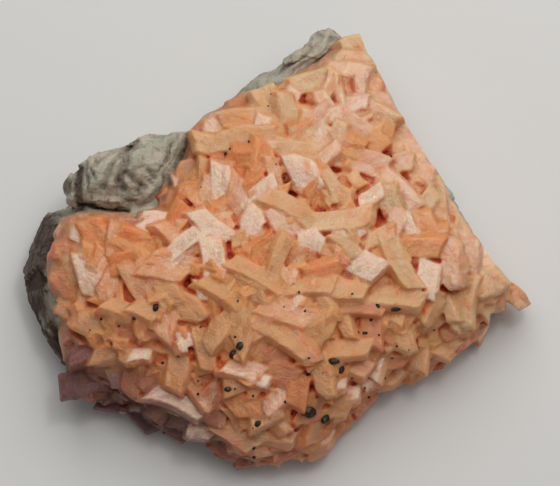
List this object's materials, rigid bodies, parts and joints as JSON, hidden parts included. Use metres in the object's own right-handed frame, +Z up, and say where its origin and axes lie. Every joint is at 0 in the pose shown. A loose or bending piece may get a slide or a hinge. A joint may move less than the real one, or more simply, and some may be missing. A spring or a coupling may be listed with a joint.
{
  "type": "dolomite hand specimen",
  "caption": "Hand specimen of saddle dolomite: a crust of interlocking curved rhombic crystals over a flat-backed slab of host rock, with small sulphide grains.",
  "frame": {"origin": "on the resting plane of the flat broken back, under the middle of the specimen's bounding box", "axes": "+Z up out of the flat back through the crystals, +X along the longer side towards the pointed corner, +Y towards the corner with the rock knob"},
  "size_m": [0.131, 0.1112, 0.0431],
  "materials": {
    "host_rock": "dull broken rock, pale grey-green with darker purple-brown streaks",
    "dolomite": "satin to pearly, translucent peach-orange, deeper orange in the crevices",
    "sulphide": "dark brown, resinous to metallic"
  },
  "bodies": {
    "root": {"matrix_rock": "host_rock", "dolomite_crust": "dolomite", "sulphide_grain_01": "sulphide", "sulphide_grain_02": "sulphide", "sulphide_grain_03": "sulphide", "sulphide_grain_04": "sulphide", "sulphide_grain_05": "sulphide", "sulphide_grain_06": "sulphide", "sulphide_grain_07": "sulphide", "sulphide_grain_08": "sulphide", "sulphide_grain_09": "sulphide", "sulphide_grain_10": "sulphide"}
  },
  "joints": []
}
